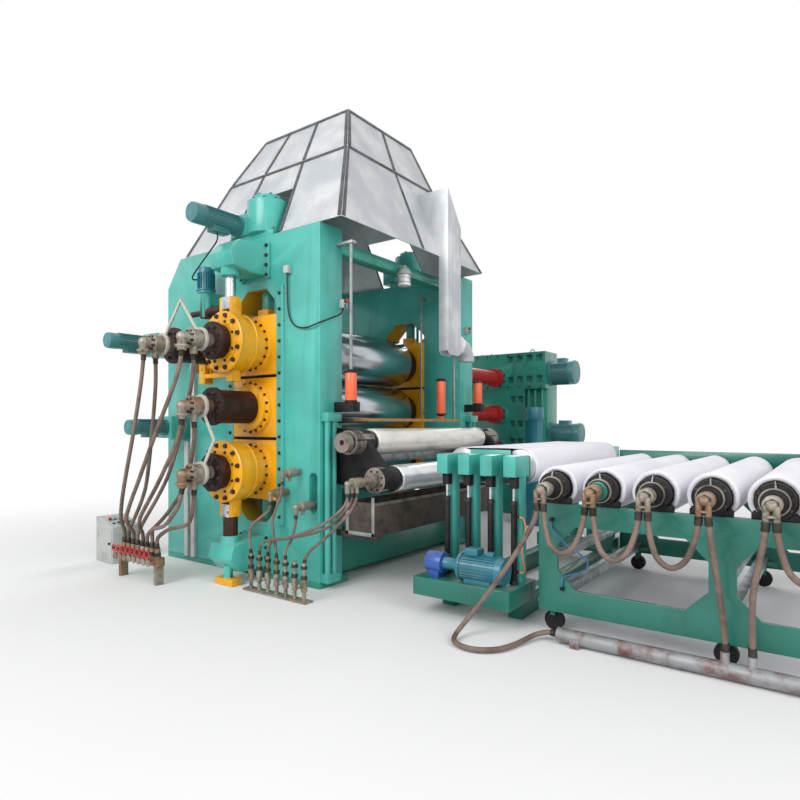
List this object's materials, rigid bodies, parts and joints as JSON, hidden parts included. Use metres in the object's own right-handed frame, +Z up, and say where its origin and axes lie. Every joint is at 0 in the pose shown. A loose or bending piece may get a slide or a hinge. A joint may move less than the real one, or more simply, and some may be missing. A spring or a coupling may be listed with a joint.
{
  "type": "four-roll rubber calender line",
  "caption": "Four-roll rubber calender with yellow roll housings, grey fume hood, drive reducer, guide rollers, transfer apron and a train of cloth-covered cooling rollers.",
  "frame": {"origin": "on the floor, under the bedplate, below the axis plane of the vertical roll stack and midway between the side frames", "axes": "+X along the sheet from the calender to the cooling rollers, +Y across it to the drive side with the reducer, +Z up"},
  "size_m": [7.436, 6.8956, 4.906],
  "materials": {
    "green_paint": "gloss",
    "dark_green_paint": "gloss",
    "yellow_paint": "gloss",
    "chrome": "polished",
    "steel": "satin",
    "dark_steel": "rough",
    "brass": "dull",
    "sheet": "satin",
    "motor_paint": "satin",
    "blue_paint": "satin",
    "orange_paint": "satin",
    "cloth": "matt",
    "canvas": "matt",
    "wood": "rough",
    "hose_rubber": "matt",
    "plastic": "matt"
  },
  "bodies": {
    "plant": {"bedplate": "dark_green_paint", "operator_side_frame": "green_paint", "drive_side_frame": "green_paint", "frame_ties": "dark_green_paint", "operator_housings": "yellow_paint", "drive_housings": "yellow_paint", "bending_rings": "yellow_paint", "bending_brackets": "green_paint", "bending_spindles": "steel", "screw_units": "green_paint", "side_adjusters": "green_paint", "adjusting_motors": "motor_paint", "rotary_unions": "brass", "union_stays": "plastic", "hood_panels": "sheet", "hood_ribs": "dark_steel", "exhaust_duct": "sheet", "duct_elbow": "sheet", "work_lamp": "plastic", "guide_bearings": "dark_steel", "roller_slides": "green_paint", "lift_cylinders": "orange_paint", "lift_rods": "steel", "side_board": "wood", "drip_tray": "dark_steel", "scraper_plate": "steel", "valve_manifolds": "brass", "control_console": "plastic", "cable_trunking": "plastic", "calender_hoses": "hose_rubber", "reducer_lower": "dark_green_paint", "reducer_upper": "dark_green_paint", "reducer_motors": "motor_paint", "hydraulic_unit": "blue_paint", "transfer_base": "green_paint", "lifting_posts": "green_paint", "lifting_jacks": "dark_steel", "transfer_motor": "blue_paint", "apron_belt": "cloth", "cooling_near_frame": "green_paint", "cooling_far_frame": "green_paint", "cooling_ties": "steel", "cooling_bearings": "dark_steel", "coolant_header": "dark_green_paint", "cooling_hoses": "hose_rubber"},
    "bottom_roll": {"bottom_roll": "chrome"},
    "middle_roll": {"middle_roll": "chrome"},
    "top_roll": {"top_roll": "chrome"},
    "side_roll": {"side_roll": "chrome"},
    "upper_guide_roller": {"upper_guide_roller": "canvas"},
    "lower_guide_roller": {"lower_guide_roller": "cloth"},
    "apron_front_roller": {"apron_front_roller": "steel"},
    "apron_rear_roller": {"apron_rear_roller": "steel"},
    "cooling_roller_1": {"cooling_roller_1": "cloth"},
    "cooling_roller_2": {"cooling_roller_2": "cloth"},
    "cooling_roller_3": {"cooling_roller_3": "cloth"},
    "cooling_roller_4": {"cooling_roller_4": "cloth"},
    "cooling_roller_5": {"cooling_roller_5": "cloth"},
    "cooling_roller_6": {"cooling_roller_6": "cloth"},
    "cooling_roller_7": {"cooling_roller_7": "cloth"}
  },
  "joints": [
    {"name": "bottom_roll_turn", "type": "hinge", "parent": "plant", "child": "bottom_roll", "pos_m": [0, 0, 1.08], "axis": [0, 1, 0], "continuous": true},
    {"name": "middle_roll_turn", "type": "hinge", "parent": "plant", "child": "middle_roll", "pos_m": [0, 0, 1.7], "axis": [0, 1, 0], "continuous": true},
    {"name": "top_roll_turn", "type": "hinge", "parent": "plant", "child": "top_roll", "pos_m": [0, 0, 2.32], "axis": [0, 1, 0], "continuous": true},
    {"name": "side_roll_turn", "type": "hinge", "parent": "plant", "child": "side_roll", "pos_m": [-0.62, 0, 2.32], "axis": [0, 1, 0], "continuous": true},
    {"name": "upper_guide_roller_turn", "type": "hinge", "parent": "plant", "child": "upper_guide_roller", "pos_m": [1.16, 0, 1.366], "axis": [0, 1, 0], "continuous": true},
    {"name": "lower_guide_roller_turn", "type": "hinge", "parent": "plant", "child": "lower_guide_roller", "pos_m": [1.44, 0, 1.03], "axis": [0, 1, 0], "continuous": true},
    {"name": "apron_front_roller_turn", "type": "hinge", "parent": "plant", "child": "apron_front_roller", "pos_m": [2.71, 0, 1.196], "axis": [0, 1, 0], "continuous": true},
    {"name": "apron_rear_roller_turn", "type": "hinge", "parent": "plant", "child": "apron_rear_roller", "pos_m": [2.195, 0, 1.196], "axis": [0, 1, 0], "continuous": true},
    {"name": "cooling_roller_1_turn", "type": "hinge", "parent": "plant", "child": "cooling_roller_1", "pos_m": [3.075, 0, 1.07], "axis": [0, 1, 0], "continuous": true},
    {"name": "cooling_roller_2_turn", "type": "hinge", "parent": "plant", "child": "cooling_roller_2", "pos_m": [3.42, 0, 1.07], "axis": [0, 1, 0], "continuous": true},
    {"name": "cooling_roller_3_turn", "type": "hinge", "parent": "plant", "child": "cooling_roller_3", "pos_m": [3.765, 0, 1.07], "axis": [0, 1, 0], "continuous": true},
    {"name": "cooling_roller_4_turn", "type": "hinge", "parent": "plant", "child": "cooling_roller_4", "pos_m": [4.11, 0, 1.07], "axis": [0, 1, 0], "continuous": true},
    {"name": "cooling_roller_5_turn", "type": "hinge", "parent": "plant", "child": "cooling_roller_5", "pos_m": [4.455, 0, 1.07], "axis": [0, 1, 0], "continuous": true},
    {"name": "cooling_roller_6_turn", "type": "hinge", "parent": "plant", "child": "cooling_roller_6", "pos_m": [4.8, 0, 1.07], "axis": [0, 1, 0], "continuous": true},
    {"name": "cooling_roller_7_turn", "type": "hinge", "parent": "plant", "child": "cooling_roller_7", "pos_m": [5.145, 0, 1.07], "axis": [0, 1, 0], "continuous": true}
  ]
}
